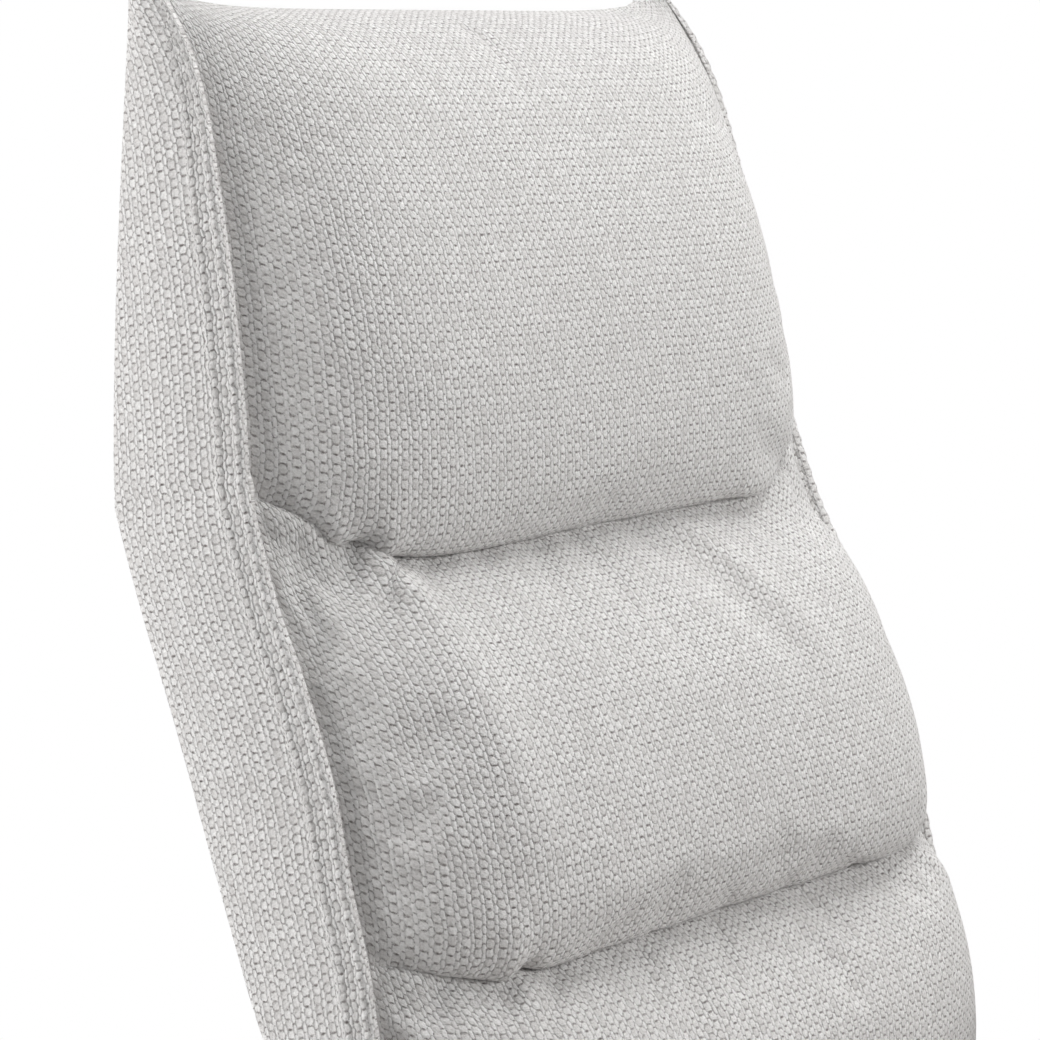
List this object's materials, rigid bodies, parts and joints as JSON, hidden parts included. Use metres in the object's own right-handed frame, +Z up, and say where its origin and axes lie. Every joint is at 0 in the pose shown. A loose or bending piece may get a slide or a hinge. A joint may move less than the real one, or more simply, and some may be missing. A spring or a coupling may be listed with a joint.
{
  "type": "swivel recliner",
  "caption": "High-back swivel recliner with tilting head section, pillow back, padded arms, swing-out footrest and lever-released gas spring on a round base.",
  "frame": {"origin": "on the floor, on the swivel axis", "axes": "the chair faces -Y, +X is the sitter's left, +Z is up"},
  "size_m": [0.744, 0.832, 1.1261],
  "materials": {
    "mat_rubber": "matt ribbed rubber",
    "base_paint": "satin black powder coat",
    "frame_paint": "matt black powder coat",
    "bright_steel": "zinc-bright turned steel",
    "cylinder_paint": "gloss black lacquer",
    "bush_plastic": "natural acetal",
    "grip_plastic": "moulded matt black plastic",
    "beech": "planed unfinished beech",
    "plywood": "raw birch plywood",
    "webbing": "black elastic webbing",
    "woven_fabric": "light warm grey chunky basket weave"
  },
  "bodies": {
    "base": {"base_mat": "mat_rubber", "base_plate": "base_paint", "column_tube": "base_paint", "column_sleeve": "bush_plastic"},
    "seat": {"swivel_spindle": "bright_steel", "carriage_plate": "frame_paint", "cross_tubes": "frame_paint", "side_rail_right": "frame_paint", "side_rail_left": "frame_paint", "recline_pins": "bright_steel", "footrest_pins": "bright_steel", "seat_timbers": "beech", "seat_straps": "webbing", "seat_cushion": "woven_fabric", "arm_core_left": "plywood", "arm_core_right": "plywood", "arm_left": "woven_fabric", "arm_right": "woven_fabric", "rear_apron": "woven_fabric", "gas_rod": "bright_steel", "gas_bracket": "frame_paint", "lever_bracket": "frame_paint"},
    "back": {"back_side_panel_left": "woven_fabric", "back_side_panel_right": "woven_fabric", "back_rear_cover": "woven_fabric", "mid_pillow": "woven_fabric", "lumbar_pillow": "woven_fabric", "back_uprights": "frame_paint", "back_crossbars": "frame_paint", "back_straps": "webbing", "torque_tube": "frame_paint", "recline_bushes": "bush_plastic", "recline_horn": "frame_paint", "horn_pin": "bright_steel", "head_hinge_lower": "frame_paint", "head_hinge_pins": "bright_steel"},
    "head": {"head_hinge_upper": "frame_paint", "head_frame": "frame_paint", "head_side_panel_left": "woven_fabric", "head_side_panel_right": "woven_fabric", "head_rear_cover": "woven_fabric", "head_pillow": "woven_fabric"},
    "footrest": {"footrest_arm_left": "frame_paint", "footrest_arm_right": "frame_paint", "footrest_bushes": "bush_plastic", "footrest_board": "plywood", "footrest_pad": "woven_fabric"},
    "gas_cylinder": {"gas_cylinder": "cylinder_paint"},
    "lever": {"release_shaft": "bright_steel", "lever_handle": "bright_steel", "lever_grip": "grip_plastic"}
  },
  "joints": [
    {"name": "swivel", "type": "hinge", "parent": "base", "child": "seat", "pos_m": [0, 0, 0], "axis": [0, 0, 1], "continuous": true},
    {"name": "recline", "type": "hinge", "parent": "seat", "child": "back", "pos_m": [0, 0.26618, 0.39508], "axis": [-1, 0, 0], "range_deg": [0, 33]},
    {"name": "head_tilt", "type": "hinge", "parent": "back", "child": "head", "pos_m": [0, 0.48373, 0.84713], "axis": [1, 0, 0], "range_deg": [-22, 12]},
    {"name": "footrest_swing", "type": "hinge", "parent": "seat", "child": "footrest", "pos_m": [0, -0.292, 0.37808], "axis": [-1, 0, 0], "range_deg": [0, 95]},
    {"name": "gas_slide", "type": "slide", "parent": "seat", "child": "gas_cylinder", "axis": [0, 1, 0], "range_m": [-0.0569, 0]},
    {"name": "release_lever", "type": "hinge", "parent": "seat", "child": "lever", "pos_m": [0, -0.01893, 0.27514], "axis": [-1, 0, 0], "range_deg": [0, 12], "stiffness_Nm_per_rad": 4, "springref_deg": -20.05}
  ],
  "couplings": [
    {"joint": "gas_slide", "follows": "recline", "m_per_rad": -0.098624}
  ]
}
